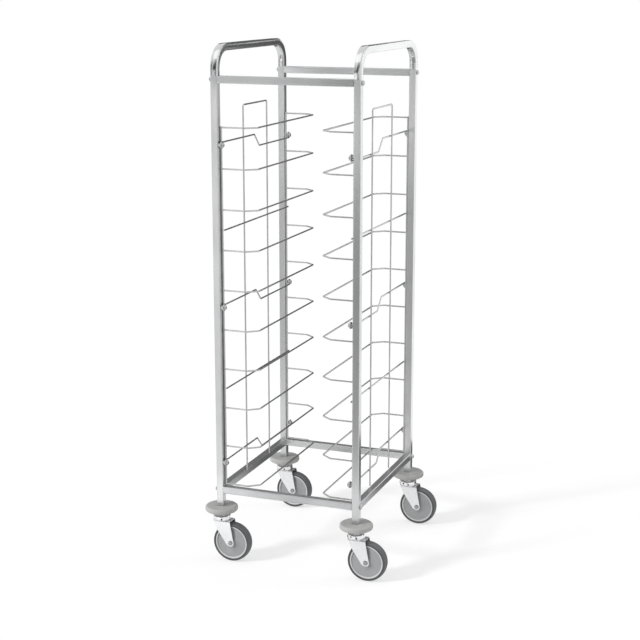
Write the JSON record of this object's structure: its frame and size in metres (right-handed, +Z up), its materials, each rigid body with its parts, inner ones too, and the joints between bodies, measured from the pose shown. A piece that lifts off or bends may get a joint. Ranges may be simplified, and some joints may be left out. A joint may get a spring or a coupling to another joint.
{
  "type": "tray rack trolley",
  "caption": "Open trolley of square steel tube with wire slides on both sides for trays, hand loops at the top, round corner bumpers and swivel castors.",
  "frame": {"origin": "on the floor, under the middle of the whole outline with the castors trailing to the right", "axes": "+X to the right, +Y from the front to the back along the slides, +Z up"},
  "size_m": [0.6065, 0.628, 1.6225],
  "materials": {
    "frame_tube": "satin stainless tube, polished at the bends",
    "rack_wire": "bright drawn stainless wire",
    "fastener_steel": "polished stainless screws and studs",
    "castor_steel": "bright zinc plated pressed steel",
    "ball_steel": "polished bearing balls",
    "bumper_plastic": "light grey soft plastic",
    "wheel_plastic": "mid grey moulded plastic with a lighter ring",
    "tyre_rubber": "dark grey rubber"
  },
  "bodies": {
    "root": {"bottom_rail_back": "frame_tube", "bottom_rail_front": "frame_tube", "bumper_back_left": "bumper_plastic", "bumper_back_right": "bumper_plastic", "bumper_front_left": "bumper_plastic", "bumper_front_right": "bumper_plastic", "cross_wires_left": "rack_wire", "cross_wires_right": "rack_wire", "end_wires": "rack_wire", "frame_bolts": "fastener_steel", "guide_bow_left": "rack_wire", "guide_bow_right": "rack_wire", "rack_studs": "fastener_steel", "side_frame_left": "frame_tube", "side_frame_right": "frame_tube", "side_rail_left": "frame_tube", "side_rail_right": "frame_tube", "slide_left_01": "rack_wire", "slide_left_02": "rack_wire", "slide_left_03": "rack_wire", "slide_left_04": "rack_wire", "slide_left_05": "rack_wire", "slide_left_06": "rack_wire", "slide_left_07": "rack_wire", "slide_left_08": "rack_wire", "slide_left_09": "rack_wire", "slide_left_10": "rack_wire", "slide_right_01": "rack_wire", "slide_right_02": "rack_wire", "slide_right_03": "rack_wire", "slide_right_04": "rack_wire", "slide_right_05": "rack_wire", "slide_right_06": "rack_wire", "slide_right_07": "rack_wire", "slide_right_08": "rack_wire", "slide_right_09": "rack_wire", "slide_right_10": "rack_wire", "swivel_balls": "ball_steel", "swivel_head_back_left": "castor_steel", "swivel_head_back_right": "castor_steel", "swivel_head_front_left": "castor_steel", "swivel_head_front_right": "castor_steel", "top_bar_back": "frame_tube", "top_bar_front": "frame_tube"},
    "swivel_front_left": {"fork_front_left": "castor_steel", "axle_front_left": "castor_steel"},
    "wheel_front_left": {"wheel_centre_front_left": "wheel_plastic", "tyre_front_left": "tyre_rubber"},
    "swivel_front_right": {"fork_front_right": "castor_steel", "axle_front_right": "castor_steel"},
    "wheel_front_right": {"wheel_centre_front_right": "wheel_plastic", "tyre_front_right": "tyre_rubber"},
    "swivel_back_left": {"fork_back_left": "castor_steel", "axle_back_left": "castor_steel"},
    "wheel_back_left": {"wheel_centre_back_left": "wheel_plastic", "tyre_back_left": "tyre_rubber"},
    "swivel_back_right": {"fork_back_right": "castor_steel", "axle_back_right": "castor_steel"},
    "wheel_back_right": {"wheel_centre_back_right": "wheel_plastic", "tyre_back_right": "tyre_rubber"}
  },
  "joints": [
    {"name": "swivel_turn_front_left", "type": "hinge", "parent": "root", "child": "swivel_front_left", "pos_m": [-0.25125, -0.262, 0.131], "axis": [0, 0, 1], "continuous": true},
    {"name": "wheel_spin_front_left", "type": "hinge", "parent": "swivel_front_left", "child": "wheel_front_left", "pos_m": [-0.21325, -0.262, 0.0625], "axis": [0, 1, 0], "continuous": true},
    {"name": "swivel_turn_front_right", "type": "hinge", "parent": "root", "child": "swivel_front_right", "pos_m": [0.20275, -0.262, 0.131], "axis": [0, 0, 1], "continuous": true},
    {"name": "wheel_spin_front_right", "type": "hinge", "parent": "swivel_front_right", "child": "wheel_front_right", "pos_m": [0.24075, -0.262, 0.0625], "axis": [0, 1, 0], "continuous": true},
    {"name": "swivel_turn_back_left", "type": "hinge", "parent": "root", "child": "swivel_back_left", "pos_m": [-0.25125, 0.262, 0.131], "axis": [0, 0, 1], "continuous": true},
    {"name": "wheel_spin_back_left", "type": "hinge", "parent": "swivel_back_left", "child": "wheel_back_left", "pos_m": [-0.21325, 0.262, 0.0625], "axis": [0, 1, 0], "continuous": true},
    {"name": "swivel_turn_back_right", "type": "hinge", "parent": "root", "child": "swivel_back_right", "pos_m": [0.20275, 0.262, 0.131], "axis": [0, 0, 1], "continuous": true},
    {"name": "wheel_spin_back_right", "type": "hinge", "parent": "swivel_back_right", "child": "wheel_back_right", "pos_m": [0.24075, 0.262, 0.0625], "axis": [0, 1, 0], "continuous": true}
  ]
}
